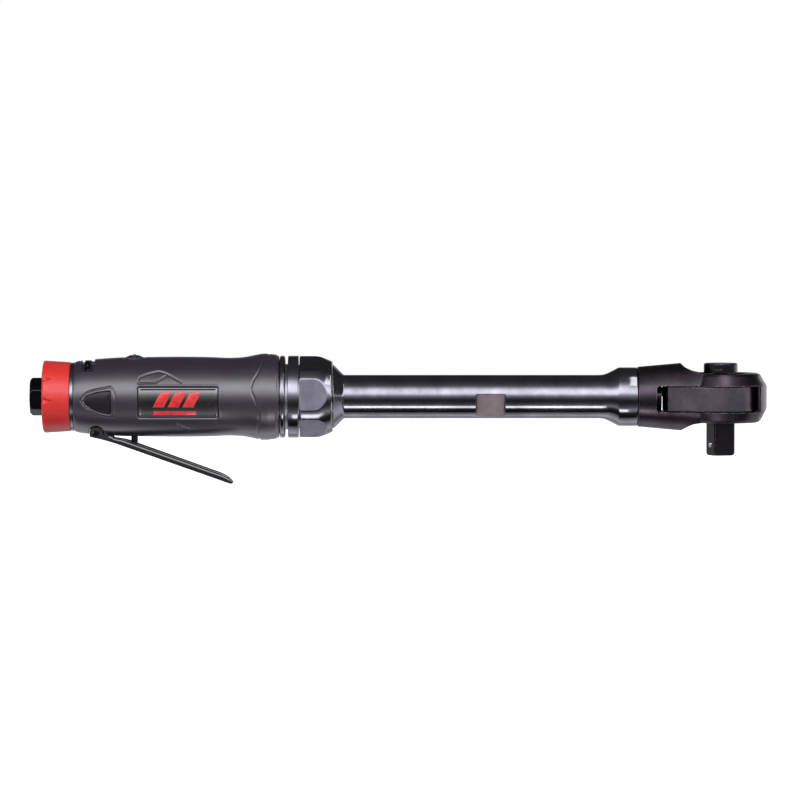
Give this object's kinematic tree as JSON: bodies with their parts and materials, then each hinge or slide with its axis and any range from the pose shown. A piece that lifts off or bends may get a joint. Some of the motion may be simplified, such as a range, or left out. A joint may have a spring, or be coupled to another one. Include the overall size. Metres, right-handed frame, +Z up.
{
  "type": "air ratchet",
  "caption": "Long-reach pneumatic ratchet: grip with throttle lever, red rear exhaust deflector, extension tube and ratchet head with a half-inch square drive.",
  "frame": {"origin": "centre of the air inlet's mouth, on the tool's long axis", "axes": "+X along the tool from the air inlet to the head, +Z up on the selector's side, square drive along -Z, throttle lever on the -Z side"},
  "size_m": [0.416, 0.0488, 0.0734],
  "materials": {
    "black_steel": "blackened, satin",
    "brass": "machined",
    "red_plastic": "moulded, satin gloss",
    "felt": "pressed felt",
    "aluminium": "machined",
    "grip_plastic": "fine soft-touch texture",
    "rubber": "matt",
    "gloss_black": "gloss plate with a plain red mark",
    "steel": "ground",
    "black_paint": "semi-gloss black coat on sheet steel",
    "iron": "ground",
    "phenolic": "laminated",
    "black_chrome": "polished black chrome",
    "gunmetal": "satin-gloss dark plating",
    "polished_dark": "polished, dark"
  },
  "bodies": {
    "tool_body": {"inlet_bushing": "black_steel", "inlet_screen": "brass", "silencer": "felt", "trim_ring": "black_chrome", "motor_housing": "aluminium", "grip_sleeve": "grip_plastic", "grip_pads": "rubber", "badges": "gloss_black", "grip_screw": "black_steel", "valve_bushing": "brass", "lever_pin": "black_steel", "rear_end_plate": "iron", "rear_bearing": "steel", "cylinder": "iron", "front_end_plate": "iron", "front_bearing": "steel", "ring_gear": "steel", "gear_spacer": "steel", "carrier_bearing": "steel", "front_ring": "black_chrome", "lock_ring": "black_chrome", "clamp_nut": "black_chrome", "tube_snap_ring": "steel", "extension_tube": "black_chrome", "shaft_bushings": "brass", "crank_bearing": "black_steel", "head_housing": "gunmetal", "head_cover": "black_steel", "cover_ring": "black_steel", "yoke_washer_top": "black_steel", "yoke_washer_bottom": "black_steel", "anvil_washer": "brass"},
    "deflector": {"exhaust_deflector": "red_plastic"},
    "valve": {"throttle_stem": "black_steel", "valve_spring": "steel"},
    "regulator": {"regulator_dial": "grip_plastic"},
    "lever": {"throttle_lever": "black_paint"},
    "motor_rotor": {"rotor": "steel", "vanes": "phenolic"},
    "planet_a": {"planet_gear_a": "steel"},
    "planet_b": {"planet_gear_b": "steel"},
    "planet_c": {"planet_gear_c": "steel"},
    "drive_line": {"planet_carrier": "steel", "planet_pins": "steel", "drive_shaft": "steel", "crankshaft": "black_steel", "crank_roller": "black_steel"},
    "yoke_body": {"yoke": "polished_dark"},
    "anvil_body": {"anvil": "black_steel", "pawl_pins": "steel", "ball_spring": "steel"},
    "pawl_front_body": {"pawl_front": "steel"},
    "pawl_rear_body": {"pawl_rear": "steel"},
    "selector": {"selector_knob": "black_steel", "selector_plungers": "steel", "selector_spring": "steel"},
    "ball": {"socket_ball": "steel"}
  },
  "joints": [
    {"name": "deflector_turn", "type": "hinge", "parent": "tool_body", "child": "deflector", "pos_m": [0.015, 0, 0], "axis": [1, 0, 0], "continuous": true},
    {"name": "lever_swing", "type": "hinge", "parent": "tool_body", "child": "lever", "pos_m": [0.0376, 0, -0.0203], "axis": [0, -1, 0], "range_deg": [0, 12], "stiffness_Nm_per_rad": 2, "springref_deg": -34.38},
    {"name": "valve_lift", "type": "slide", "parent": "tool_body", "child": "valve", "axis": [0, 0, 1], "range_m": [0, 0.0048], "deforming": ["valve_spring"]},
    {"name": "regulator_turn", "type": "hinge", "parent": "tool_body", "child": "regulator", "pos_m": [0.0589, 0, 0.02], "axis": [0, 0, 1], "range_deg": [-90, 90]},
    {"name": "yoke_rock", "type": "hinge", "parent": "tool_body", "child": "yoke_body", "pos_m": [0.39, 0, 0], "axis": [0, 0, 1], "range_deg": [-6.18, 6.18]},
    {"name": "drive_line_spin", "type": "hinge", "parent": "tool_body", "child": "drive_line", "pos_m": [0.25, 0, 0], "axis": [1, 0, 0], "continuous": true},
    {"name": "rotor_spin", "type": "hinge", "parent": "tool_body", "child": "motor_rotor", "pos_m": [0.096, 0, 0], "axis": [1, 0, 0], "continuous": true},
    {"name": "planet_a_spin", "type": "hinge", "parent": "drive_line", "child": "planet_a", "pos_m": [0.13, 0, 0.00945], "axis": [1, 0, 0], "continuous": true},
    {"name": "planet_b_spin", "type": "hinge", "parent": "drive_line", "child": "planet_b", "pos_m": [0.13, -0.00818, -0.00473], "axis": [1, 0, 0], "continuous": true},
    {"name": "planet_c_spin", "type": "hinge", "parent": "drive_line", "child": "planet_c", "pos_m": [0.13, 0.00818, -0.00473], "axis": [1, 0, 0], "continuous": true},
    {"name": "anvil_spin", "type": "hinge", "parent": "tool_body", "child": "anvil_body", "pos_m": [0.39, 0, -0.02], "axis": [0, 0, 1], "continuous": true},
    {"name": "selector_turn", "type": "hinge", "parent": "anvil_body", "child": "selector", "pos_m": [0.39, 0, 0.017], "axis": [0, 0, 1], "range_deg": [0, 60]},
    {"name": "pawl_front_rock", "type": "hinge", "parent": "anvil_body", "child": "pawl_front_body", "pos_m": [0.38687, 0.00908, -0.0009], "axis": [0, 0, 1], "range_deg": [-10, 0]},
    {"name": "pawl_rear_rock", "type": "hinge", "parent": "anvil_body", "child": "pawl_rear_body", "pos_m": [0.39313, -0.00908, -0.0009], "axis": [0, 0, 1], "range_deg": [-10, 0]},
    {"name": "ball_press", "type": "slide", "parent": "anvil_body", "child": "ball", "axis": [0.9455, 0.3256, 0], "range_m": [0, 0.0009], "stiffness_N_per_m": 600, "springref_m": -0.003}
  ],
  "couplings": [
    {"joint": "valve_lift", "follows": "lever_swing", "m_per_rad": 0.0224},
    {"joint": "drive_line_spin", "follows": "yoke_rock", "ratio": 14.558},
    {"joint": "rotor_spin", "follows": "yoke_rock", "ratio": 65.51},
    {"joint": "planet_a_spin", "follows": "yoke_rock", "ratio": -40.761},
    {"joint": "planet_b_spin", "follows": "yoke_rock", "ratio": -40.761},
    {"joint": "planet_c_spin", "follows": "yoke_rock", "ratio": -40.761},
    {"joint": "pawl_front_rock", "follows": "selector_turn", "ratio": -0.16667},
    {"joint": "pawl_rear_rock", "follows": "selector_turn", "ratio": -0.16667}
  ]
}
